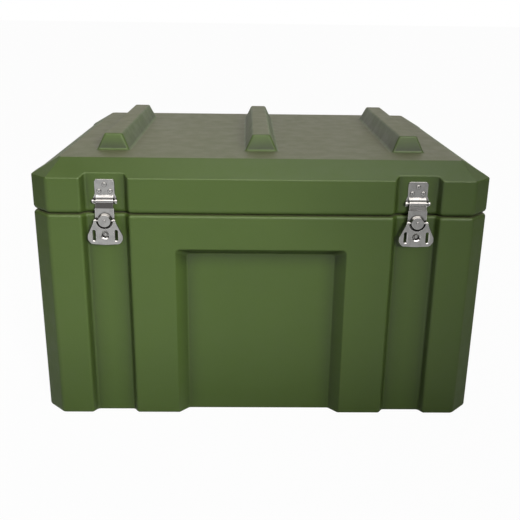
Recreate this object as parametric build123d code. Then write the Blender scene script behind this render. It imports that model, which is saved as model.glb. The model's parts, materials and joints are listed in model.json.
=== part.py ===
# Hard equipment case with a hinged ribbed lid, two rotary draw latches and two side handles.
# Frame: +X to the right seen from the front, +Y to the rear, +Z up, origin at the middle of the base.
# All lengths are millimetres.
import os
from build123d import *

# ---- Case envelope ----
WIDTH = 800.0
DEPTH = 650.0
HALF_X = WIDTH / 2
HALF_Y = DEPTH / 2
CORNER_LEG = 32.0
CORNER_ROUND = 12.0
EDGE_ROUND = 6.0
WALL = 5.0

# ---- Heights ----
BODY_TOP = 387.5
LID_LOW = 389.5
BEVEL_LOW = 451.5
LID_TOP = 479.0
RIB_TOP = 508.5
BEVEL_RUN = 46.5
BASE_ROUND = 6.0
RIM_ROUND = 6.0
LID_ROUND = 8.0
BEVEL_ROUND = 3.0

# ---- Upright channels for the latches and the hinges ----
CHANNEL_X = 270.0
CHANNEL_MOUTH = 41.5
CHANNEL_FLOOR = 33.5
CHANNEL_DEEP = 12.0
FLOOR_Y = HALF_Y - CHANNEL_DEEP

# ---- Side recesses ----
RECESS_MOUTH = 262.0
RECESS_FLOOR = 250.0
RECESS_DEEP = 12.0
RECESS_X = HALF_X - RECESS_DEEP

# ---- Sloped inset in the front and the rear of the body ----
INSET_MOUTH = 151.0
INSET_FLOOR = 132.0
INSET_DEEP = 20.0
INSET_MOUTH_Z = 326.0
INSET_FLOOR_Z = 313.0
INSET_ROUND = 10.0
INSET_FLOOR_ROUND = 5.0
MOUTH_ROUND = 3.0

# ---- Lid ribs ----
RIB_STEP = 270.0
RIB_BASE = 60.0
RIB_CREST = 32.0
RIB_BASE_Y = 213.0
RIB_CREST_Y = 203.0
RIB_ROUND = 5.0
RIB_FOOT = 6.0

# ---- Rims and gasket ----
OPENING_X = 366.0
OPENING_Y = 290.0
OPENING_ROUND = 25.0
BODY_RIM = 14.0
LID_RIM = 10.0
GROOVE_IN = 4.0
GASKET_WIDE = 8.0
GROOVE_GAP = 0.1
GASKET_LOW = 381.0

# ---- Rivets ----
RIVET_R = 1.92
RIVET_HEAD_R = 4.2
RIVET_HEAD = 1.8
RIVET_BULB_R = 3.4
RIVET_BULB = 3.0
HOLE_GAP = 0.05
MANDREL_R = 1.2
LATCH_RIVETS = ((0.0, 438.8), (-9.5, 427.4), (9.5, 427.4))
KEEPER_RIVETS = ((-6.5, 353.0), (6.5, 353.0))
BODY_LEAF_RIVETS = ((-18.0, 350.0), (18.0, 350.0))
LID_LEAF_RIVETS = ((-18.0, 428.0), (18.0, 428.0))
HANDLE_RIVETS = ((-84.0, 262.0), (-84.0, 288.0), (84.0, 262.0), (84.0, 288.0))

# ---- Latch, heights in the case frame, depths outwards from the channel floor ----
PLATE_T = 2.0
LATCH_TOP = 448.2
LATCH_LOW = 405.0
LATCH_HALF = 17.3
EAR_X = 18.4
EAR_OUT = 20.4
EAR_R = 3.8
FLARE_TOP = 421.5
FLARE_LOW = 414.0
LIP_LOW = 415.6
PIN_Z = 410.7
PIN_Y = 6.2
PIN_R = 2.0
PIN_GAP = 0.05
KNUCKLE_R = 4.0
STRAP_IN = 10.5
STRAP_OUT = 12.5
STRAP_HALF = 16.2
STRAP_BEND = 399.2
STRAP_LOW = 344.0
NECK_HALF = 15.2
KNUCKLE_HALF = 14.3
FLANGE_IN = 5.0
STUD_R = 3.2
STUD_SHANK_R = 1.5
STUD_TAIL_R = 2.4
CAM_Z = 378.7
CAM_R = 12.6
CAM_FACE_R = 10.6
CAM_SKIRT = 14.5
CAM_TOP = 20.5
SHAFT_R = 7.0
CRANK_R = 2.5
CRANK_OFF = 4.0
HOOK_IN = 7.9
HOOK_OUT = 9.9
HOOK_HALF = 14.1
HOOK_LOW = 360.0
HOOK_HIGH = 392.0
HOOK_LIP_HALF = 9.0
HOOK_LIP_IN = 5.5
SLOT_HALF = 3.6
SLOT_LONG = 7.0
KEEPER_T = 1.5
KEEPER_HALF = 12.0
KEEPER_LOW = 345.0
KEEPER_HIGH = 370.0
KEEPER_LIP_LOW = 364.0
KEEPER_LIP_OUT = 5.0
HANDLE_IN = 16.0
HANDLE_OUT = 18.0
FLIP_Y = 17.0
BARREL_R = 2.5
FLIP_PIN_R = 1.5
CUTOUT_R = 14.0
ARM_IN = 14.2
ARM_OUT = 17.6
HOLE_Z = 353.3
EYE_Z = 352.3
EYE_X = 19.1
EYE_LONG = 21.4
EYE_WIDE = 7.0
EYE_SINK = 1.2

# ---- Hinges ----
HINGE_Y = 17.0
HINGE_Z = 389.0
HINGE_KNUCKLE_R = 4.5
HINGE_HALF = 28.0
LEAF_T = 2.5

# ---- Side carry handles ----
LUG_Z = 275.0
LUG_Y = 68.0
BAIL_R = 3.25
BAIL_X = 395.2
BAIL_LOW = 215.0
GRIP_R = 4.7

# ---- Relief valve ----
VALVE_R = 9.0
VALVE_Z = 250.0


# ======== Helpers ========
def front(part, x_mid):
    """Turn a part drawn with +Y outwards so that it stands on the front channel floor."""
    return Pos(x_mid, -FLOOR_Y, 0) * Rot(0, 0, 180) * part


def rear(part, x_mid):
    """Set a part drawn with +Y outwards on the rear channel floor."""
    return Pos(x_mid, FLOOR_Y, 0) * part


def box(x0, x1, y0, y1, z0, z1):
    """Box between two corners."""
    return Pos((x0 + x1) / 2, (y0 + y1) / 2, (z0 + z1) / 2) * Box(x1 - x0, y1 - y0, z1 - z0)


def rod_x(radius, x0, x1, y, z):
    """Cylinder along X."""
    return Pos((x0 + x1) / 2, y, z) * Rot(0, 90, 0) * Cylinder(radius, x1 - x0)


def rod_y(radius, x, z, y0, y1):
    """Cylinder along Y."""
    return Pos(x, (y0 + y1) / 2, z) * Rot(90, 0, 0) * Cylinder(radius, y1 - y0)


def plate_xz(points, y0, y1):
    """Plate with an outline in X and Z, from depth y0 to depth y1."""
    outline = make_face(Polyline(*[(x, y0, z) for x, z in points], close=True))
    return extrude(outline, amount=y1 - y0, dir=(0, 1, 0))


def bar_yz(points, x0, x1):
    """Bar with a section in Y and Z, from x0 to x1."""
    outline = make_face(Polyline(*[(x0, y, z) for y, z in points], close=True))
    return extrude(outline, amount=x1 - x0, dir=(1, 0, 0))


def tapered_block(low, high):
    """Solid between two outlines with the same number of points and flat sides."""
    faces = [make_face(Polyline(*low, close=True)), make_face(Polyline(*high, close=True))]
    for here in range(len(low)):
        after = (here + 1) % len(low)
        faces.append(make_face(Polyline(low[here], low[after], high[after], high[here], close=True)))
    return Solid(Shell(faces))


def ring_plan(half_x, half_y, radius, z0, z1):
    """Rounded rectangular block standing on z0."""
    return Pos(0, 0, z0) * extrude(RectangleRounded(2 * half_x, 2 * half_y, radius), amount=z1 - z0)


def blind_rivet(x, z, y_head, y_far):
    """Blind rivet along Y: head on y_head, shank to y_far, bulb beyond it, mandrel hole in the head."""
    rivet = rod_y(RIVET_R, x, z, y_far - RIVET_BULB, y_head)
    head = rod_y(RIVET_HEAD_R, x, z, y_head, y_head + RIVET_HEAD)
    head = fillet(head.edges().sort_by(Axis.Y)[-1], 1.5)
    bulb = rod_y(RIVET_BULB_R, x, z, y_far - RIVET_BULB, y_far)
    mandrel = rod_y(MANDREL_R, x, z, y_head, y_head + RIVET_HEAD)
    return rivet + head + bulb - mandrel


def rivet_hole(x, z, y0, y1):
    """Clearance hole for a blind rivet."""
    return rod_y(RIVET_R + HOLE_GAP, x, z, y0, y1)


# ======== Shells ========
def side_points(sign):
    """Plan points along the front (-1) or rear (+1) face, from left to right."""
    wall_y = sign * HALF_Y
    floor_y = sign * FLOOR_Y
    points = []
    for middle in (-CHANNEL_X, CHANNEL_X):
        points.append((middle - CHANNEL_MOUTH, wall_y))
        points.append((middle - CHANNEL_FLOOR, floor_y))
        points.append((middle + CHANNEL_FLOOR, floor_y))
        points.append((middle + CHANNEL_MOUTH, wall_y))
    return points


def plan_points():
    """Outer plan: rectangle with cut corners, four channels and two side recesses."""
    corner_x = HALF_X - CORNER_LEG
    corner_y = HALF_Y - CORNER_LEG
    right = [(HALF_X, -corner_y), (HALF_X, -RECESS_MOUTH), (RECESS_X, -RECESS_FLOOR)]
    right += [(RECESS_X, RECESS_FLOOR), (HALF_X, RECESS_MOUTH), (HALF_X, corner_y)]
    left = [(-x, y) for x, y in reversed(right)]
    points = [(-corner_x, -HALF_Y)] + side_points(-1) + [(corner_x, -HALF_Y)] + right
    points += [(corner_x, HALF_Y)] + list(reversed(side_points(1))) + [(-corner_x, HALF_Y)] + left
    return points


def outer_plan():
    """Outer plan face with rounded corners."""
    face = make_face(Polyline(*plan_points(), close=True))
    soft = [v for v in face.vertices() if abs(v.X) + abs(v.Y) > HALF_X + HALF_Y - CORNER_LEG - 1]
    face = fillet(soft, CORNER_ROUND)
    sharp = [v for v in face.vertices() if is_groove_corner(v)]
    return fillet(sharp, EDGE_ROUND)


def is_groove_corner(vertex):
    """True at the plan corners of the channels and side recesses."""
    near_channel = abs(abs(vertex.X) - CHANNEL_X) < CHANNEL_MOUTH + 1 and abs(vertex.Y) > FLOOR_Y - 1
    near_recess = abs(vertex.Y) < RECESS_MOUTH + 1 and abs(vertex.X) > RECESS_X - 1
    return near_channel or near_recess


def inner_plan():
    """Plan of the hollow, one wall inside the outer plan."""
    return offset(outer_plan(), -WALL)


def inset_block(grow):
    """Front inset volume; grow is the wall left around it."""
    side = grow * 2 ** 0.5
    rise = grow * 1.2
    reach = INSET_DEEP + grow
    slope = (INSET_MOUTH - INSET_FLOOR) / INSET_DEEP
    fall = (INSET_MOUTH_Z - INSET_FLOOR_Z) / INSET_DEEP
    outlines = []
    for depth in (-10.0, reach):
        half = INSET_MOUTH + side - depth * slope
        top = INSET_MOUTH_Z + rise - depth * fall
        y = -HALF_Y + depth
        outlines.append([(-half, y, -10.0), (half, y, -10.0), (half, y, top), (-half, y, top)])
    block = tapered_block(*outlines)
    slanted = [e for e in block.edges() if abs(e.tangent_at(0.5).Y) > 0.3 and e.center().Z > 100]
    block = fillet(slanted, INSET_ROUND)
    floor_edges = block.faces().sort_by(Axis.Y)[-1].edges()
    rounded = [e for e in floor_edges if e.center().Z > 0]
    return fillet(rounded, INSET_FLOOR_ROUND)


def opening(z0, z1):
    """Clear opening through the rims."""
    return ring_plan(OPENING_X, OPENING_Y, OPENING_ROUND, z0, z1)


def gasket_ring(inner_gap, outer_gap, z0, z1):
    """Ring on the gasket's path, wider than the gasket by the gaps."""
    inside = GROOVE_IN - inner_gap
    outside = GROOVE_IN + GASKET_WIDE + outer_gap
    outer = ring_plan(OPENING_X + outside, OPENING_Y + outside, OPENING_ROUND + outside, z0, z1)
    inner = ring_plan(OPENING_X + inside, OPENING_Y + inside, OPENING_ROUND + inside, z0 - 1, z1 + 1)
    return outer - inner


def make_body_shell():
    """Hollow lower shell with channels, insets, side recesses and an inward rim with a gasket groove."""
    shell = extrude(outer_plan(), amount=BODY_TOP)
    shell = fillet(shell.faces().sort_by(Axis.Z)[-1].edges(), RIM_ROUND)
    shell = fillet(shell.faces().sort_by(Axis.Z)[0].edges(), BASE_ROUND)
    hollow = Pos(0, 0, WALL) * extrude(inner_plan(), amount=BODY_TOP - BODY_RIM - WALL)
    wall_block = inset_block(WALL)
    hollow -= wall_block
    hollow -= Rot(0, 0, 180) * wall_block
    shell -= hollow
    shell -= opening(BODY_TOP - BODY_RIM - 1, BODY_TOP + 1)
    shell -= gasket_ring(GROOVE_GAP, GROOVE_GAP, GASKET_LOW, BODY_TOP + 1)
    cut = inset_block(0.0)
    shell -= cut
    shell -= Rot(0, 0, 180) * cut
    shell = fillet([e for e in shell.edges() if on_inset_mouth(e)], MOUTH_ROUND)
    for hole in body_holes():
        shell -= hole
    return shell


def on_inset_mouth(edge):
    """True on the edges where the insets meet the upright faces."""
    middle = edge.center()
    on_face = all(abs(abs(v.Y) - HALF_Y) < 0.01 for v in edge.vertices())
    inside = abs(middle.X) < INSET_MOUTH + 2 and BASE_ROUND < middle.Z < INSET_MOUTH_Z + 2
    return on_face and inside and abs(abs(middle.Y) - HALF_Y) < 0.01


def body_holes():
    """Rivet and valve holes in the lower shell."""
    holes = []
    for middle in (-CHANNEL_X, CHANNEL_X):
        holes += [front(rivet_hole(x, z, -2 * WALL, 1), middle) for x, z in KEEPER_RIVETS]
        holes += [rear(rivet_hole(x, z, -2 * WALL, 1), middle) for x, z in BODY_LEAF_RIVETS]
    for side in (-1, 1):
        for y, z in HANDLE_RIVETS:
            holes.append(Pos(side * RECESS_X, y, z) * Rot(0, 90, 0) * Cylinder(RIVET_R + HOLE_GAP, 20))
    holes.append(rod_y(VALVE_R + HOLE_GAP, 0, VALVE_Z, HALF_Y - INSET_DEEP - 8, HALF_Y))
    return holes


def lid_block(drop):
    """Lid outline seen from the side: straight walls, sloped border and flat top, lowered by drop."""
    run = BEVEL_RUN
    rise = LID_TOP - BEVEL_LOW
    over = 20.0
    low = BEVEL_LOW - drop - over * rise / run
    top_leg = CORNER_LEG - run * (2 - 2 ** 0.5)
    low_leg = CORNER_LEG + over * (2 - 2 ** 0.5)
    outlines = []
    for z, grow, leg in ((low, over, low_leg), (LID_TOP - drop, -run, top_leg)):
        hx = HALF_X + grow
        hy = HALF_Y + grow
        points = [(-hx + leg, -hy), (hx - leg, -hy), (hx, -hy + leg), (hx, hy - leg)]
        points += [(-x, -y) for x, y in points]
        outlines.append([(x, y, z) for x, y in points])
    cap = tapered_block(*outlines)
    cap = fillet([e for e in cap.edges() if abs(e.tangent_at(0.5).Z) > 0.2], 2.0)
    cap = fillet(cap.faces().sort_by(Axis.Z)[-1].edges(), 2.0)
    return cap + box(-HALF_X - over, HALF_X + over, -HALF_Y - over, HALF_Y + over, LID_LOW - 10, low)


def rib(half_base, half_crest, base_y, crest_y, z0, z1):
    """Rib with sloped sides and ends."""
    outlines = []
    for half_x, half_y, z in ((half_base, base_y, z0), (half_crest, crest_y, z1)):
        outlines.append([(-half_x, -half_y, z), (half_x, -half_y, z), (half_x, half_y, z), (-half_x, half_y, z)])
    return tapered_block(*outlines)


def make_lid_shell():
    """Hollow lid with a sloped border, channels, side recesses and three hollow ribs."""
    straight = extrude(outer_plan(), amount=LID_TOP - LID_LOW + 1)
    shell = (Pos(0, 0, LID_LOW) * straight) & lid_block(0.0)
    shell = fillet(shell.faces().sort_by(Axis.Z)[0].edges(), LID_ROUND)
    bevel_edges = [e for e in shell.edges() if on_bevel_line(e)]
    shell = fillet(bevel_edges, BEVEL_ROUND)
    hollow = Pos(0, 0, LID_LOW + LID_RIM) * extrude(inner_plan(), amount=LID_TOP - LID_LOW)
    hollow = hollow & lid_block(WALL * 1.17)
    shell -= hollow
    shell -= opening(LID_LOW - 1, LID_LOW + LID_RIM + 1)
    for middle in (-RIB_STEP, 0, RIB_STEP):
        outside = rib(RIB_BASE / 2, RIB_CREST / 2, RIB_BASE_Y, RIB_CREST_Y, LID_TOP - 0.5, RIB_TOP)
        outside = fillet([e for e in outside.edges() if e.center().Z > LID_TOP + 1], RIB_ROUND)
        inside = rib(RIB_BASE / 2 - WALL, RIB_CREST / 2 - WALL, RIB_BASE_Y - WALL, RIB_CREST_Y - WALL,
                     LID_TOP - 2 * WALL, RIB_TOP - WALL)
        shell += Pos(middle, 0, 0) * outside
        shell -= Pos(middle, 0, 0) * inside
    shell = fillet([e for e in shell.edges() if on_rib_foot(e)], RIB_FOOT)
    for middle in (-CHANNEL_X, CHANNEL_X):
        for x, z in LATCH_RIVETS:
            shell -= front(rivet_hole(x, z, -2 * WALL, 1), middle)
        for x, z in LID_LEAF_RIVETS:
            shell -= rear(rivet_hole(x, z, -2 * WALL, 1), middle)
    return shell


def on_rib_foot(edge):
    """True on the edges where a rib stands on the lid's outer top."""
    middle = edge.center()
    flat = all(abs(v.Z - LID_TOP) < 0.01 for v in edge.vertices())
    across = min(abs(middle.X - centre) for centre in (-RIB_STEP, 0, RIB_STEP))
    return flat and across < RIB_BASE / 2 + 1 and abs(middle.Y) < RIB_BASE_Y + 1


def on_bevel_line(edge):
    """True on the line where the lid's upright faces meet its sloped border."""
    middle = edge.center()
    near = BEVEL_LOW - 1 < middle.Z < BEVEL_LOW + CHANNEL_DEEP
    inside = abs(middle.X) < HALF_X - BEVEL_RUN / 2 and abs(middle.Y) < HALF_Y - BEVEL_RUN / 2
    ends = [v.Z for v in edge.vertices()]
    return near and not inside and min(ends) > BEVEL_LOW - 1.5 and max(ends) < BEVEL_LOW + CHANNEL_DEEP


def make_gasket():
    """Seal in the lower shell's groove, standing just clear of the lid."""
    return gasket_ring(0.0, 0.0, GASKET_LOW, LID_LOW - GROOVE_GAP)


# ======== Draw latch, drawn with +Y outwards from the channel floor ========


def make_latch_base():
    """Riveted plate with two ears that hold the strap's pin."""
    outline = [(-LATCH_HALF, LATCH_TOP), (LATCH_HALF, LATCH_TOP), (LATCH_HALF, FLARE_TOP), (EAR_OUT, FLARE_LOW)]
    outline += [(EAR_OUT, LATCH_LOW), (-EAR_OUT, LATCH_LOW), (-EAR_OUT, FLARE_LOW), (-LATCH_HALF, FLARE_TOP)]
    base = plate_xz(outline, 0, PLATE_T)
    top_corners = [e for e in base.edges().filter_by(Axis.Y) if e.center().Z > LATCH_TOP - 1]
    base = fillet(top_corners, 5.0)
    base = fillet(base.faces().sort_by(Axis.Y)[-1].edges().sort_by(Axis.Z)[-3:], 0.8)
    lip = [(PLATE_T - 0.1, 420.5), (PLATE_T - 0.1, LIP_LOW), (5.2, LIP_LOW), (5.2, LIP_LOW + 1.6)]
    base += bar_yz(lip, -14.5, 14.5)
    for side in (-1, 1):
        x0, x1 = sorted((side * EAR_X, side * EAR_OUT))
        base += box(x0, x1, 0, PIN_Y, PIN_Z - EAR_R, PIN_Z + EAR_R)
        base += rod_x(EAR_R, x0, x1, PIN_Y, PIN_Z)
    base -= rod_x(PIN_R + PIN_GAP, -EAR_OUT - 1, EAR_OUT + 1, PIN_Y, PIN_Z)
    for x, z in LATCH_RIVETS:
        base -= rivet_hole(x, z, -1, PLATE_T + 1)
    return base


def make_latch_pin():
    """Headed pin that the strap swings on."""
    pin = rod_x(PIN_R, -EAR_OUT, EAR_OUT, PIN_Y, PIN_Z)
    for side in (-1, 1):
        x0, x1 = sorted((side * EAR_OUT, side * (EAR_OUT + 1.4)))
        head = rod_x(3.2, x0, x1, PIN_Y, PIN_Z)
        outer = head.edges().sort_by(Axis.X)[-1 if side > 0 else 0]
        pin += fillet(outer, 0.9)
    return pin


def make_strap():
    """Swinging strap: pin knuckle, sloped neck, flat face and two stiffening flanges."""
    neck = [(STRAP_OUT, STRAP_BEND), (9.8, 409.5), (7.6, 409.0), (STRAP_IN, STRAP_BEND - 0.4)]
    strap = bar_yz(neck, -NECK_HALF, NECK_HALF)
    strap += rod_x(KNUCKLE_R, -KNUCKLE_HALF, KNUCKLE_HALF, PIN_Y, PIN_Z)
    strap += box(-STRAP_HALF, STRAP_HALF, STRAP_IN, STRAP_OUT, STRAP_LOW, STRAP_BEND)
    for side in (-1, 1):
        x0, x1 = sorted((side * (STRAP_HALF - PLATE_T), side * STRAP_HALF))
        strap += box(x0, x1, FLANGE_IN, STRAP_IN + 0.1, STRAP_LOW, STRAP_BEND - 1)
    strap -= rod_x(PIN_R + PIN_GAP, -20, 20, PIN_Y, PIN_Z)
    strap -= rod_y(SHAFT_R + PIN_GAP, 0, CAM_Z, STRAP_IN - 1, STRAP_OUT + 1)
    strap -= rod_y(STUD_SHANK_R + PIN_GAP, 0, HOLE_Z, STRAP_IN - 1, STRAP_OUT + 1)
    return strap


def make_stud():
    """Domed stud on the strap, seen through the handle's hole."""
    head = rod_y(STUD_R, 0, HOLE_Z, STRAP_OUT, STRAP_OUT + 2)
    head = fillet(head.edges().sort_by(Axis.Y)[-1], 1.2)
    tail = rod_y(STUD_TAIL_R, 0, HOLE_Z, STRAP_IN - 0.4, STRAP_IN)
    return head + rod_y(STUD_SHANK_R, 0, HOLE_Z, STRAP_IN - 0.4, STRAP_OUT + 0.5) + tail


def make_cam():
    """Turning boss with sloped sides, a shaft through the strap and a crank pin behind it."""
    skirt = rod_y(CAM_R, 0, CAM_Z, STRAP_OUT + 0.2, CAM_SKIRT)
    slope = (CAM_R - CAM_FACE_R) / (CAM_TOP - CAM_SKIRT)
    section = [(0, CAM_SKIRT), (CAM_R, CAM_SKIRT), (CAM_R - slope * (CAM_TOP - CAM_SKIRT), CAM_TOP), (0, CAM_TOP)]
    cone = revolve(make_face(Polyline(*[(r, y, 0) for r, y in section], close=True)), Axis.Y)
    cap = skirt + Pos(0, 0, CAM_Z) * cone
    cap = fillet(cap.edges().sort_by(Axis.Y)[-1], 1.2)
    cam = cap + rod_y(SHAFT_R, 0, CAM_Z, STRAP_IN - 0.2, STRAP_OUT + 0.3)
    cam += rod_y(CRANK_R, 0, CAM_Z + CRANK_OFF, HOOK_IN - 1, STRAP_IN)
    cam -= rod_x(FLIP_PIN_R + 0.02, -20, -7, FLIP_Y, CAM_Z)
    cam -= rod_x(FLIP_PIN_R + 0.02, 7, 20, FLIP_Y, CAM_Z)
    cam -= rod_y(1.42, 0, CAM_Z, STRAP_IN - 1, CAM_TOP + 1)
    return cam


def make_cam_rivet():
    """Rivet through the middle of the boss."""
    head = rod_y(2.7, 0, CAM_Z, CAM_TOP, CAM_TOP + 1)
    head = fillet(head.edges().sort_by(Axis.Y)[-1], 0.9)
    return head + rod_y(1.4, 0, CAM_Z, STRAP_IN - 0.2, CAM_TOP + 0.5)


def make_flip_pin(side):
    """Pin from the boss into one arm of the handle."""
    x0, x1 = sorted((side * 7.5, side * (ARM_OUT + 0.8)))
    return rod_x(FLIP_PIN_R, x0, x1, FLIP_Y, CAM_Z)


def make_handle():
    """Shield-shaped turning handle with a round cut-out, two slots and a hole, all with dished edges."""
    half = [(ARM_OUT - 0.6, 381.5), (ARM_OUT + 0.4, CAM_Z), (30.2, 353.0), (30.4, 344.5), (24.5, 336.6), (0.0, 335.2)]
    outline = half + [(-x, z) for x, z in reversed(half[:-1])]
    handle = plate_xz(outline, HANDLE_IN, HANDLE_OUT)
    upright = handle.edges().filter_by(Axis.Y)
    handle = fillet([e for e in upright if abs(e.center().Z - 344.5) < 1 or abs(e.center().Z - 336.6) < 1], 8.0)
    handle = fillet([e for e in handle.edges().filter_by(Axis.Y) if abs(e.center().Z - 353.0) < 1], 9.0)
    rim = [e for e in handle.faces().sort_by(Axis.Y)[-1].edges() if e.center().Z < CAM_Z + 1]
    handle = fillet(rim, 0.9)
    handle -= rod_y(CUTOUT_R, 0, CAM_Z, HANDLE_IN - 1, HANDLE_OUT + 1)
    handle -= dish(CUTOUT_R + 0.9, CUTOUT_R, CAM_Z, 0.9)
    handle -= box(-ARM_IN - 0.05, ARM_IN + 0.05, HANDLE_IN - 1, HANDLE_OUT + 1, CAM_Z - 1, CAM_Z + 5)
    for side in (-1, 1):
        x0, x1 = sorted((side * ARM_IN, side * ARM_OUT))
        handle += rod_x(BARREL_R, x0, x1, FLIP_Y, CAM_Z)
        handle -= rod_x(FLIP_PIN_R + PIN_GAP, x0 - 1, x1 + 2, FLIP_Y, CAM_Z)
        handle -= dished_slot(side * EYE_X)
    handle -= rod_y(5.8, 0, HOLE_Z, HANDLE_IN - 1, HANDLE_OUT + 1)
    handle -= dish(7.6, 5.8, HOLE_Z, 1.4)
    return handle


def dish(wide, narrow, z, deep):
    """Cone that sinks into the handle's face."""
    section = [(0, HANDLE_OUT - deep), (narrow, HANDLE_OUT - deep), (wide, HANDLE_OUT), (wide, HANDLE_OUT + 1)]
    section.append((0, HANDLE_OUT + 1))
    cone = revolve(make_face(Polyline(*[(r, y, 0) for r, y in section], close=True)), Axis.Y)
    return Pos(0, 0, z) * cone


def dished_slot(x):
    """Upright slot cutter with a sunk edge."""
    face = Plane(origin=(x, HANDLE_OUT + 0.05, EYE_Z), x_dir=(0, 0, 1), z_dir=(0, -1, 0))
    narrow = SlotOverall(EYE_LONG - 2 * EYE_SINK, EYE_WIDE - 2 * EYE_SINK)
    through = extrude(face * narrow, amount=2 * (HANDLE_OUT - HANDLE_IN))
    mouth = extrude(face * SlotOverall(EYE_LONG, EYE_WIDE), amount=EYE_SINK, taper=45)
    return through + mouth


def make_hook():
    """Sliding hook behind the strap, moved by the boss's crank pin."""
    crank_z = CAM_Z + CRANK_OFF
    lip_high = HOOK_LOW + 6.0
    hook = box(-HOOK_HALF, HOOK_HALF, HOOK_IN, HOOK_OUT, HOOK_LOW, HOOK_HIGH)
    hook += box(-HOOK_LIP_HALF, HOOK_LIP_HALF, HOOK_LIP_IN, HOOK_IN + 0.1, HOOK_LOW, HOOK_LOW + 2)
    hook += box(-HOOK_LIP_HALF, HOOK_LIP_HALF, HOOK_LIP_IN, HOOK_LIP_IN + 1.4, HOOK_LOW + 1.5, lip_high)
    hook -= box(-SLOT_LONG, SLOT_LONG, HOOK_IN - 1, HOOK_OUT + 1, crank_z - SLOT_HALF, crank_z + SLOT_HALF)
    return hook


def make_keeper():
    """Riveted keeper plate with a turned-down lip."""
    half = KEEPER_HALF
    lip_in = KEEPER_LIP_OUT - 1.4
    keeper = box(-half, half, 0, KEEPER_T, KEEPER_LOW, KEEPER_HIGH)
    keeper += box(-half, half, KEEPER_T - 0.1, KEEPER_LIP_OUT, KEEPER_HIGH - KEEPER_T, KEEPER_HIGH)
    keeper += box(-half, half, lip_in, KEEPER_LIP_OUT, KEEPER_LIP_LOW, KEEPER_HIGH - 1)
    for x, z in KEEPER_RIVETS:
        keeper -= rivet_hole(x, z, -1, KEEPER_T + 1.5)
    return keeper


# ======== Hinges, drawn with +Y outwards from the channel floor ========
def hinge_leaf(direction, knuckles):
    """Riveted leaf above (+1) or below (-1) the seam with an arm out to its knuckles."""
    low, high = sorted((HINGE_Z + direction * 11, HINGE_Z + direction * 51))
    leaf = box(-HINGE_HALF, HINGE_HALF, 0, LEAF_T, low, high)
    far = [e for e in leaf.edges().filter_by(Axis.Y) if abs(e.center().Z - HINGE_Z) > 45]
    leaf = fillet(far, 5.0)
    arm = [(0.0, HINGE_Z + direction * 11), (HINGE_Y - 1.5, HINGE_Z + direction * 1.5)]
    arm += [(HINGE_Y, HINGE_Z + direction * 4.4), (LEAF_T, HINGE_Z + direction * 15)]
    arm += [(0.0, HINGE_Z + direction * 15)]
    for x0, x1 in knuckles:
        leaf += bar_yz(arm, x0, x1)
        leaf += rod_x(HINGE_KNUCKLE_R, x0, x1, HINGE_Y, HINGE_Z)
    leaf -= rod_x(PIN_R + PIN_GAP, -HINGE_HALF - 1, HINGE_HALF + 1, HINGE_Y, HINGE_Z)
    rivets = LID_LEAF_RIVETS if direction > 0 else BODY_LEAF_RIVETS
    for x, z in rivets:
        leaf -= rivet_hole(x, z, -1, LEAF_T + 1)
    return leaf


def make_hinge_pin():
    """Headed hinge pin."""
    pin = rod_x(PIN_R, -HINGE_HALF, HINGE_HALF, HINGE_Y, HINGE_Z)
    for side in (-1, 1):
        x0, x1 = sorted((side * HINGE_HALF, side * (HINGE_HALF + 2)))
        pin += rod_x(3.4, x0, x1, HINGE_Y, HINGE_Z)
    return pin


# ======== Side carry handles, drawn on the right side ========
def mirrored(part, side):
    """The right side's part, or its mirror image on the left."""
    return part if side > 0 else mirror(part, Plane.YZ)


def make_handle_plate():
    """Riveted plate with two bored lugs."""
    plate = box(RECESS_X, RECESS_X + 2, -94, 94, 252, 298)
    plate = fillet(plate.edges().filter_by(Axis.X), 8.0)
    for end in (-1, 1):
        y0, y1 = sorted((end * (LUG_Y - 6), end * (LUG_Y + 6)))
        plate += box(RECESS_X + 1, BAIL_X, y0, y1, LUG_Z - 4.7, LUG_Z + 4.7)
        plate += Pos(BAIL_X, (y0 + y1) / 2, LUG_Z) * Rot(90, 0, 0) * Cylinder(4.7, y1 - y0)
    plate -= Pos(BAIL_X, 0, LUG_Z) * Rot(90, 0, 0) * Cylinder(BAIL_R + PIN_GAP, 200)
    for y, z in HANDLE_RIVETS:
        plate -= Pos(RECESS_X, y, z) * Rot(0, 90, 0) * Cylinder(RIVET_R + HOLE_GAP, 20)
    return plate


def make_bail():
    """Round wire bail with its ends turned out into the lugs."""
    end_y = LUG_Y + 5.5
    leg_y = LUG_Y - 12
    path = Polyline((BAIL_X, -end_y, LUG_Z), (BAIL_X, -leg_y, LUG_Z), (BAIL_X, -leg_y, BAIL_LOW),
                    (BAIL_X, leg_y, BAIL_LOW), (BAIL_X, leg_y, LUG_Z), (BAIL_X, end_y, LUG_Z))
    bends = [v for v in path.vertices() if abs(v.Y) < end_y - 1]
    path = fillet(bends, BAIL_R + 1)
    section = Plane(origin=(BAIL_X, -end_y, LUG_Z), z_dir=(0, 1, 0)) * Circle(BAIL_R)
    return sweep(section, path=path)


def make_grip():
    """Rubber sleeve on the bail's cross bar."""
    sleeve = Pos(BAIL_X, 0, BAIL_LOW) * Rot(90, 0, 0) * Cylinder(GRIP_R, 96)
    sleeve = fillet(sleeve.edges(), 1.0)
    return sleeve - Pos(BAIL_X, 0, BAIL_LOW) * Rot(90, 0, 0) * Cylinder(BAIL_R + 0.02, 100)


def make_handle_rivets():
    """Four blind rivets through the plate and the side wall."""
    rivets = []
    for y, z in HANDLE_RIVETS:
        rivets.append(Pos(RECESS_X, y, z) * Rot(0, 0, -90) * blind_rivet(0, 0, 2.0, -WALL))
    return rivets


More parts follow.
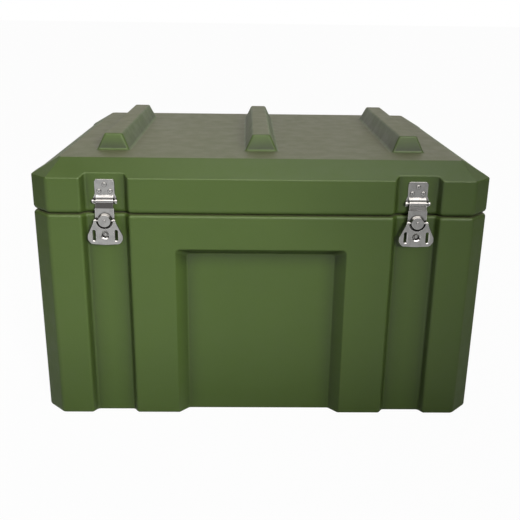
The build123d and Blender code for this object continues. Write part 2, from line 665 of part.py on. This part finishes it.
# ======== Relief valve in the rear inset ========
def make_valve_body():
    """Flanged valve body through the rear wall."""
    face_y = HALF_Y - INSET_DEEP
    flange = rod_y(15, 0, VALVE_Z, face_y, face_y + 3)
    flange = fillet(flange.edges().sort_by(Axis.Y)[-1], 1.0)
    body = flange + rod_y(VALVE_R, 0, VALVE_Z, face_y - 12, face_y)
    body += rod_y(13, 0, VALVE_Z, face_y - 8, face_y - WALL)
    return body - rod_y(6, 0, VALVE_Z, face_y - 13, face_y + 4)


def make_valve_cap():
    """Cap with a stem that closes the valve body."""
    face_y = HALF_Y - INSET_DEEP
    cap = rod_y(10, 0, VALVE_Z, face_y + 3, face_y + 7)
    cap = fillet(cap.edges().sort_by(Axis.Y)[-1], 1.5)
    return cap + rod_y(5.95, 0, VALVE_Z, face_y - 6, face_y + 3.5)


# ======== Every node ========
def rivet_row(places, head_y, far_y):
    """Blind rivets at several places."""
    return [blind_rivet(x, z, head_y, far_y) for x, z in places]


def build_nodes():
    """Name and shape of every piece."""
    nodes = {"body_shell": make_body_shell(), "lid_shell": make_lid_shell(), "gasket": make_gasket()}
    for name, middle in (("left", -CHANNEL_X), ("right", CHANNEL_X)):
        latch = {"base": make_latch_base(), "pin": make_latch_pin(), "strap": make_strap()}
        latch.update({"stud": make_stud(), "cam": make_cam(), "cam_rivet": make_cam_rivet()})
        latch.update({"handle": make_handle(), "hook": make_hook(), "keeper": make_keeper()})
        latch.update({"flip_pin_1": make_flip_pin(-1), "flip_pin_2": make_flip_pin(1)})
        for number, rivet in enumerate(rivet_row(LATCH_RIVETS, PLATE_T, -WALL)):
            latch[f"rivet_{number + 1}"] = rivet
        latch["keeper_rivets"] = Compound(children=rivet_row(KEEPER_RIVETS, KEEPER_T, -WALL))
        for piece, shape in latch.items():
            nodes[f"{name}_latch_{piece}"] = front(shape, middle)
        sides = [(-HINGE_HALF, -10.0), (10.0, HINGE_HALF)]
        hinge = {"body_leaf": hinge_leaf(-1, sides), "lid_leaf": hinge_leaf(1, [(-9.8, 9.8)])}
        hinge["pin"] = make_hinge_pin()
        hinge["body_rivets"] = Compound(children=rivet_row(BODY_LEAF_RIVETS, LEAF_T, -WALL))
        hinge["lid_rivets"] = Compound(children=rivet_row(LID_LEAF_RIVETS, LEAF_T, -WALL))
        for piece, shape in hinge.items():
            nodes[f"{name}_hinge_{piece}"] = rear(shape, middle)
        side = -1 if name == "left" else 1
        carry = {"plate": make_handle_plate(), "bail": make_bail(), "grip": make_grip()}
        carry["rivets"] = Compound(children=make_handle_rivets())
        for piece, shape in carry.items():
            nodes[f"{name}_carry_{piece}"] = mirrored(shape, side)
    nodes["valve_body"] = make_valve_body()
    nodes["valve_cap"] = make_valve_cap()
    return nodes


os.makedirs("parts", exist_ok=True)
for node_name, node_shape in build_nodes().items():
    export_step(node_shape, f"parts/{node_name}.step")
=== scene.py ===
# Looks of the hard equipment case: materials, floor, room, lights and camera.
# Metres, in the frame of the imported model: +X right, +Y to the rear, +Z up, origin under the case.
import json
import math
import bpy
from mathutils import Matrix, Vector

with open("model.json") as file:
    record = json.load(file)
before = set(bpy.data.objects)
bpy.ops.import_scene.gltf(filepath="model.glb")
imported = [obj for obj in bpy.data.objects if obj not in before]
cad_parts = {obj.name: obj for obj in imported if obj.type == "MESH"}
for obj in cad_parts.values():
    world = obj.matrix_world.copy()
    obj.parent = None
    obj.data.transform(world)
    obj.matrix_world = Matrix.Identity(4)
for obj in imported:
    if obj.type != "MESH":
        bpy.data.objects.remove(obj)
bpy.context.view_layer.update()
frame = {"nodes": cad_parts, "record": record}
NODES = frame["nodes"]

# ---- Camera: angles in radians, lens and sensor in millimetres ----
CAMERA_AT = (-0.0277, -1.5590, 0.7333)
CAMERA_DOWN = 0.332
CAMERA_RIGHT = 0.021
CAMERA_ROLL = 0.014
LENS = 51.3
SENSOR = 36.0

# ---- Colours, linear ----
OLIVE = (0.056, 0.096, 0.015)
OLIVE_DEEP = (0.049, 0.086, 0.012)
# Paler olive for grain and worn edges; along edges it also serves as a painted highlight
OLIVE_WEAR_AND_EDGE_HIGHLIGHT = (0.165, 0.200, 0.100)
# Dust on the top, lightened further as a painted sheen
OLIVE_DUST_AND_SHEEN = (0.166, 0.156, 0.096)
# Painted shade: near-black olive for corners, grooves and recesses
OLIVE_PAINTED_SHADE = (0.012, 0.020, 0.003)
STEEL = (0.42, 0.417, 0.405)
STEEL_DULL = (0.22, 0.218, 0.212)
# Painted highlight: near-white steel along sharp edges
STEEL_PAINTED_EDGE_HIGHLIGHT = (0.95, 0.94, 0.92)
# Painted shade: near-black steel for creases and where parts meet
STEEL_PAINTED_SHADE = (0.045, 0.042, 0.036)
RUBBER = (0.018, 0.018, 0.019)
RUBBER_DUST = (0.10, 0.10, 0.095)
BLACK = (0.020, 0.021, 0.022)
BLACK_WORN = (0.07, 0.07, 0.07)
WHITE = (1.0, 1.0, 1.0)

# ---- Finishes ----
EDGE_SAMPLES = 6
HOLLOW_SAMPLES = 8
PLASTIC_GLOSS = 0.55
DUST_ROUGHNESS = 0.1
SMUDGE_SHARE = 0.35
BLACK_WEAR = 0.5
SCRATCHES_ACROSS = 3600.0
SCRATCHES_ALONG = 220.0
# Roughness of each steel, from its brightest to its dullest spots
STEEL_ROUGHNESS = {
    "latch_steel": (0.10, 0.26),
    "rivet_steel": (0.14, 0.30),
    "hinge_steel": (0.20, 0.36),
    "handle_steel": (0.18, 0.34),
}
RUBBERS = ("gasket_rubber", "grip_rubber")

# ---- Floor ----
FLOOR_SIDE = 60.0
FLOOR_DROP = 0.0005
FLOOR = (0.93, 0.93, 0.93)
FLOOR_BOUNCE = (0.12, 0.12, 0.12)
FLOOR_ROUGHNESS = 0.9
FLOOR_GLOW = 0.97
FLOOR_SHINE = 0.84
# Y and X where the floor's shine starts and is full: ahead of the case, and from right to left
SHINE_AHEAD = (-0.3, -0.7)
SHINE_LEFTWARD = (0.9, -0.3)
SHINE_AT_RIGHT = 0.45

# ---- Room: strengths, and the directions where each part of its light starts and is full ----
BACKDROP = 1.0
ROOM_TONE = (1.0, 0.95, 0.92)
ROOM_DIM = 0.02
ROOM_REAR = 0.75
ROOM_REAR_Y = (0.2, 0.9)
ROOM_FRONT = 0.20
ROOM_FRONT_Y = (-0.3, -0.9)
ROOM_SHINE = 4.0
ROOM_SHINE_Y = (-0.05, -0.35)
ROOM_SHINE_Z = (0.38, 0.70)

# ---- Lights: sizes in metres, powers in watts, spreads in degrees ----
KEY_AT = (1.0, -3.2, 1.5)
KEY_FACES = (-0.30, -0.3, 0.36)
KEY_SIZE = (0.8, 0.8)
KEY_SPREAD = 26.0
KEY_POWER = 2.1
SHEEN_POWER = 1.4
BAND_AT = (0.3, -3.2, 1.2)
BAND_FACES = (-0.10, -0.3, 0.27)
BAND_SIZE = (1.8, 0.2)
BAND_SPREAD = 12.0
BAND_POWER = 0.27
OVERHEAD_AT = (0.45, 0.2, 2.8)
OVERHEAD_FACES = (0.05, 0.1, 0.4)
OVERHEAD_SIZE = (2.0, 1.8)
OVERHEAD_POWER = 13.6


# ======== Node helpers ========
class Graph:
    """An empty node tree with short calls for the nodes used here."""

    def __init__(self, tree):
        self.nodes = tree.nodes
        self.links = tree.links
        self.nodes.clear()

    def put(self, value, socket):
        """Link a socket or set a value."""
        if isinstance(value, bpy.types.NodeSocket):
            self.links.new(value, socket)
        elif isinstance(value, tuple) and len(value) == 3 and socket.type == "RGBA":
            socket.default_value = (*value, 1.0)
        else:
            socket.default_value = value

    def ramp(self, value, low, high, at_low=0.0, at_high=1.0, smooth=True):
        """Map a value from one range to another, clamped."""
        node = self.nodes.new("ShaderNodeMapRange")
        node.interpolation_type = "SMOOTHSTEP" if smooth else "LINEAR"
        self.put(value, node.inputs["Value"])
        node.inputs["From Min"].default_value = low
        node.inputs["From Max"].default_value = high
        node.inputs["To Min"].default_value = at_low
        node.inputs["To Max"].default_value = at_high
        return node.outputs["Result"]

    def math(self, operation, first, second):
        """One arithmetic step."""
        node = self.nodes.new("ShaderNodeMath")
        node.operation = operation
        self.put(first, node.inputs[0])
        self.put(second, node.inputs[1])
        return node.outputs[0]

    def plus(self, first, second):
        """Sum of two values."""
        return self.math("ADD", first, second)

    def times(self, first, second):
        """Product of two values."""
        return self.math("MULTIPLY", first, second)

    def split(self, vector):
        """The X, Y and Z of a vector."""
        node = self.nodes.new("ShaderNodeSeparateXYZ")
        self.links.new(vector, node.inputs[0])
        return node.outputs

    def blend(self, share, first, second):
        """Mix two shaders."""
        node = self.nodes.new("ShaderNodeMixShader")
        self.put(share, node.inputs[0])
        self.links.new(first, node.inputs[1])
        self.links.new(second, node.inputs[2])
        return node.outputs[0]


class Finish(Graph):
    """A material's node tree around one surface shader."""

    def __init__(self, name):
        self.material = bpy.data.materials.new(name)
        self.material.use_nodes = True
        super().__init__(self.material.node_tree)
        self.output = self.nodes.new("ShaderNodeOutputMaterial")
        self.surface = self.nodes.new("ShaderNodeBsdfPrincipled")
        self.links.new(self.surface.outputs["BSDF"], self.output.inputs["Surface"])
        self.place = self.nodes.new("ShaderNodeTexCoord").outputs["Object"]

    def set(self, name, value):
        """Set one input of the surface shader."""
        self.put(value, self.surface.inputs[name])

    def stretch(self, x, y, z):
        """Object position scaled along each axis."""
        node = self.nodes.new("ShaderNodeMapping")
        self.links.new(self.place, node.inputs["Vector"])
        node.inputs["Scale"].default_value = (x, y, z)
        return node.outputs["Vector"]

    def noise(self, scale, detail=3.0, rough=0.5, place=None):
        """Noise value; a larger scale gives smaller patches."""
        node = self.nodes.new("ShaderNodeTexNoise")
        self.links.new(place or self.place, node.inputs["Vector"])
        node.inputs["Scale"].default_value = scale
        node.inputs["Detail"].default_value = detail
        node.inputs["Roughness"].default_value = rough
        return node.outputs["Fac"]

    def mix(self, share, first, second):
        """Mix two colours."""
        node = self.nodes.new("ShaderNodeMix")
        node.data_type = "RGBA"
        self.put(share, node.inputs["Factor"])
        self.put(first, node.inputs["A"])
        self.put(second, node.inputs["B"])
        return node.outputs["Result"]

    def edges(self, radius, low=0.02, high=0.25):
        """1 along edges sharper than the radius, 0 on flats."""
        bevel = self.nodes.new("ShaderNodeBevel")
        bevel.samples = EDGE_SAMPLES
        bevel.inputs["Radius"].default_value = radius
        geometry = self.nodes.new("ShaderNodeNewGeometry")
        dot = self.nodes.new("ShaderNodeVectorMath")
        dot.operation = "DOT_PRODUCT"
        self.links.new(bevel.outputs["Normal"], dot.inputs[0])
        self.links.new(geometry.outputs["Normal"], dot.inputs[1])
        return self.ramp(self.math("SUBTRACT", 1.0, dot.outputs["Value"]), low, high)

    def hollows(self, reach, low, high, alone=True):
        """1 in corners and grooves, 0 on open faces; alone looks at the one piece only."""
        node = self.nodes.new("ShaderNodeAmbientOcclusion")
        node.samples = HOLLOW_SAMPLES
        node.only_local = alone
        node.inputs["Distance"].default_value = reach
        return self.ramp(node.outputs["AO"], low, high, at_low=1.0, at_high=0.0, smooth=False)

    def facing_up(self, low, high):
        """1 where the surface faces up."""
        normal = self.nodes.new("ShaderNodeNewGeometry").outputs["Normal"]
        return self.ramp(self.split(normal)["Z"], low, high)

    def bump(self, height, depth, below=None):
        """Bump from a height value, on top of the one below."""
        node = self.nodes.new("ShaderNodeBump")
        self.put(height, node.inputs["Height"])
        node.inputs["Distance"].default_value = depth
        if below is not None:
            self.links.new(below, node.inputs["Normal"])
        return node.outputs["Normal"]


# ======== Materials ========
def olive_plastic():
    """Satin moulded polyethylene: orange peel, soft mottling, painted shade in corners and recesses, worn
    edges with a painted highlight, a dusty top with a painted sheen.
    """
    g = Finish("olive_shell")
    mottle = g.ramp(g.noise(scale=4.0), low=0.30, high=0.70)
    colour = g.mix(mottle, OLIVE_DEEP, OLIVE)
    grain = g.ramp(g.noise(scale=1400.0, detail=2.0, rough=0.6), low=0.30, high=0.75, at_high=0.07)
    colour = g.mix(grain, colour, OLIVE_WEAR_AND_EDGE_HIGHLIGHT)
    # Painted shade: the olive darkens in corners, grooves and recesses, less on upward faces
    shade_weight = g.ramp(g.facing_up(low=0.25, high=0.60), low=0.0, high=1.0, at_low=0.95, at_high=0.20)
    painted_shade = g.times(g.hollows(reach=0.036, low=0.74, high=0.99), shade_weight)
    colour = g.mix(painted_shade, colour, OLIVE_PAINTED_SHADE)
    # Worn edges, lightened further as a painted highlight along edges and rib crests
    chips = g.noise(scale=60.0, detail=5.0, rough=0.7)
    wear = g.times(g.edges(radius=0.004), g.ramp(chips, low=0.35, high=0.62, at_low=0.25, at_high=0.65))
    colour = g.mix(wear, colour, OLIVE_WEAR_AND_EDGE_HIGHLIGHT)
    # Dust on upward faces, partly real dust and partly a painted sheen that lightens the whole top
    patches = g.ramp(g.noise(scale=3.0, detail=2.0), low=0.25, high=0.75, at_low=0.44, at_high=0.56)
    specks = g.ramp(g.noise(scale=260.0, detail=4.0, rough=0.7), low=0.35, high=0.70, at_high=0.10)
    dust = g.times(g.facing_up(low=0.86, high=0.99), g.plus(patches, specks))
    g.set("Base Color", g.mix(dust, colour, OLIVE_DUST_AND_SHEEN))
    satin = g.ramp(g.noise(scale=35.0, detail=4.0, rough=0.6), low=0.2, high=0.8, at_low=0.40, at_high=0.52)
    g.set("Roughness", g.plus(satin, g.times(dust, DUST_ROUGHNESS)))
    g.set("Specular IOR Level", PLASTIC_GLOSS)
    ripple = g.bump(g.noise(scale=5.0, detail=1.0), depth=0.0006)
    peel = g.bump(g.noise(scale=420.0, detail=2.0), depth=0.00016, below=ripple)
    g.set("Normal", g.bump(g.noise(scale=2200.0, detail=1.0), depth=0.00004, below=peel))
    return g.material


def steel(name, brightest, dullest):
    """Stainless steel: smudges, painted highlights along edges, painted shade in creases and between parts,
    shallow dents and fine upright scratches.
    """
    g = Finish(name)
    smudge = g.ramp(g.noise(scale=90.0, detail=4.0, rough=0.6), low=0.35, high=0.75)
    colour = g.mix(g.times(smudge, SMUDGE_SHARE), STEEL, STEEL_DULL)
    # Painted highlight: steel turns near-white along sharp edges
    colour = g.mix(g.edges(radius=0.0011, low=0.005, high=0.08), colour, STEEL_PAINTED_EDGE_HIGHLIGHT)
    # Painted shade: steel darkens in creases and where it meets other pieces
    painted_crease_shade = g.hollows(reach=0.006, low=0.25, high=0.85, alone=False)
    g.set("Base Color", g.mix(painted_crease_shade, colour, STEEL_PAINTED_SHADE))
    g.set("Metallic", 1.0)
    brushed = g.stretch(SCRATCHES_ACROSS, SCRATCHES_ACROSS, SCRATCHES_ALONG)
    scratches = g.noise(scale=1.0, rough=0.6, place=brushed)
    mean = g.times(g.plus(scratches, smudge), 0.5)
    g.set("Roughness", g.ramp(mean, low=0.2, high=0.8, at_low=brightest, at_high=dullest))
    dents = g.bump(g.noise(scale=130.0, detail=2.0), depth=0.00018)
    g.set("Normal", g.bump(scratches, depth=0.000012, below=dents))
    return g.material


def rubber(name):
    """Matte rubber with a fine cellular surface and pale dust."""
    g = Finish(name)
    dust = g.ramp(g.noise(scale=260.0, detail=5.0, rough=0.7), low=0.5, high=0.8, at_high=0.25)
    g.set("Base Color", g.mix(dust, RUBBER, RUBBER_DUST))
    g.set("Roughness", g.ramp(g.noise(scale=120.0), low=0.3, high=0.7, at_low=0.62, at_high=0.8))
    g.set("Normal", g.bump(g.noise(scale=1600.0, rough=0.6), depth=0.00012))
    return g.material


def moulded_black(name):
    """Black moulded plastic with a fine spark texture and paler edges."""
    g = Finish(name)
    wear = g.times(g.edges(radius=0.0012), BLACK_WEAR)
    g.set("Base Color", g.mix(wear, BLACK, BLACK_WORN))
    g.set("Roughness", g.ramp(g.noise(scale=200.0), low=0.3, high=0.7, at_low=0.38, at_high=0.52))
    g.set("Normal", g.bump(g.noise(scale=2600.0, detail=2.0, rough=0.6), depth=0.00008))
    return g.material


def floor_material():
    """Pale floor: even to look at, bright ahead of the case in reflections, dim in the light it returns."""
    g = Finish("floor")
    ray = g.nodes.new("ShaderNodeLightPath").outputs
    g.set("Base Color", g.mix(ray["Is Diffuse Ray"], FLOOR, FLOOR_BOUNCE))
    g.set("Roughness", FLOOR_ROUGHNESS)
    g.set("Specular IOR Level", 0.0)
    glow = g.nodes.new("ShaderNodeEmission")
    glow.inputs["Strength"].default_value = BACKDROP
    place = g.split(g.place)
    ahead = g.ramp(place["Y"], *SHINE_AHEAD)
    leftward = g.ramp(place["X"], *SHINE_LEFTWARD, at_low=SHINE_AT_RIGHT)
    shine = g.times(g.times(g.times(ahead, leftward), FLOOR_SHINE), ray["Is Glossy Ray"])
    seen = g.plus(g.times(ray["Is Camera Ray"], FLOOR_GLOW), shine)
    lit = g.blend(seen, g.surface.outputs["BSDF"], glow.outputs["Emission"])
    g.links.new(lit, g.output.inputs["Surface"])
    return g.material


def case_materials():
    """One material for each slot of the record, by slot name."""
    made = {"olive_shell": olive_plastic(), "valve_plastic": moulded_black("valve_plastic")}
    for name, (brightest, dullest) in STEEL_ROUGHNESS.items():
        made[name] = steel(name, brightest, dullest)
    for name in RUBBERS:
        made[name] = rubber(name)
    return made


def assign(slot_materials):
    """Give every CAD node the material of its record slot."""
    slots = {entry["node"]: entry["material_slot"] for entry in frame["record"]["subparts"]}
    for name, node in NODES.items():
        node.data.materials.clear()
        node.data.materials.append(slot_materials[slots[name]])


# ======== Stage ========
def make_floor():
    """Large floor plane just under the case."""
    bpy.ops.mesh.primitive_plane_add(size=FLOOR_SIDE, location=(0, 0, -FLOOR_DROP))
    floor = bpy.context.object
    floor.name = "floor"
    floor.data.materials.append(floor_material())


def make_world():
    """White backdrop for the camera; to all else a dim room, lighter at the rear and ahead.

    Reflections also meet a bright patch high ahead.
    """
    world = bpy.data.worlds.new("studio")
    bpy.context.scene.world = world
    world.use_nodes = True
    g = Graph(world.node_tree)
    way = g.split(g.nodes.new("ShaderNodeTexCoord").outputs["Generated"])
    ray = g.nodes.new("ShaderNodeLightPath").outputs
    rear = g.ramp(way["Y"], *ROOM_REAR_Y, at_high=ROOM_REAR)
    front = g.ramp(way["Y"], *ROOM_FRONT_Y, at_high=ROOM_FRONT)
    patch = g.times(g.ramp(way["Y"], *ROOM_SHINE_Y, at_high=ROOM_SHINE), g.ramp(way["Z"], *ROOM_SHINE_Z))
    shine = g.times(patch, ray["Is Glossy Ray"])
    room = g.nodes.new("ShaderNodeBackground")
    g.put(ROOM_TONE, room.inputs["Color"])
    g.put(g.plus(g.plus(g.plus(rear, front), ROOM_DIM), shine), room.inputs["Strength"])
    backdrop = g.nodes.new("ShaderNodeBackground")
    g.put(WHITE, backdrop.inputs["Color"])
    g.put(BACKDROP, backdrop.inputs["Strength"])
    seen = g.blend(ray["Is Camera Ray"], room.outputs["Background"], backdrop.outputs["Background"])
    g.put(seen, g.nodes.new("ShaderNodeOutputWorld").inputs["Surface"])


def area_light(name, at, faces, size, power, spread=180.0, mirrored=False):
    """Rectangular light that faces a point, and shows in reflections only where mirrored."""
    data = bpy.data.lights.new(name, "AREA")
    data.shape = "RECTANGLE"
    data.size, data.size_y = size
    data.energy = power
    data.spread = math.radians(spread)
    light = bpy.data.objects.new(name, data)
    bpy.context.scene.collection.objects.link(light)
    light.location = at
    light.visible_glossy = mirrored
    light.rotation_euler = (Vector(faces) - Vector(at)).to_track_quat("-Z", "Y").to_euler()


def make_lights():
    """Frontal key on the left of the case with its sheen, a low wide band of light, a softbox overhead."""
    area_light("key", KEY_AT, KEY_FACES, KEY_SIZE, KEY_POWER, KEY_SPREAD)
    area_light("key_sheen", KEY_AT, KEY_FACES, KEY_SIZE, SHEEN_POWER, KEY_SPREAD, mirrored=True)
    area_light("band", BAND_AT, BAND_FACES, BAND_SIZE, BAND_POWER, BAND_SPREAD)
    area_light("overhead", OVERHEAD_AT, OVERHEAD_FACES, OVERHEAD_SIZE, OVERHEAD_POWER, mirrored=True)


def make_camera():
    """Camera in front of the case and above it, turned down, a little right, and rolled."""
    forward = Vector((math.sin(CAMERA_RIGHT) * math.cos(CAMERA_DOWN),
                      math.cos(CAMERA_RIGHT) * math.cos(CAMERA_DOWN), -math.sin(CAMERA_DOWN)))
    level = Vector((math.cos(CAMERA_RIGHT), -math.sin(CAMERA_RIGHT), 0.0))
    up = level.cross(forward)
    right = level * math.cos(CAMERA_ROLL) + up * math.sin(CAMERA_ROLL)
    up = up * math.cos(CAMERA_ROLL) - level * math.sin(CAMERA_ROLL)
    data = bpy.data.cameras.new("camera")
    data.lens = LENS
    data.sensor_width = SENSOR
    camera = bpy.data.objects.new("camera", data)
    bpy.context.scene.collection.objects.link(camera)
    turn = Matrix((right, up, -forward)).transposed().to_4x4()
    camera.matrix_world = Matrix.Translation(CAMERA_AT) @ turn
    bpy.context.scene.camera = camera


# ======== Build ========
bpy.context.scene.view_settings.view_transform = "Standard"
make_camera()
make_world()
make_lights()
make_floor()
assign(case_materials())
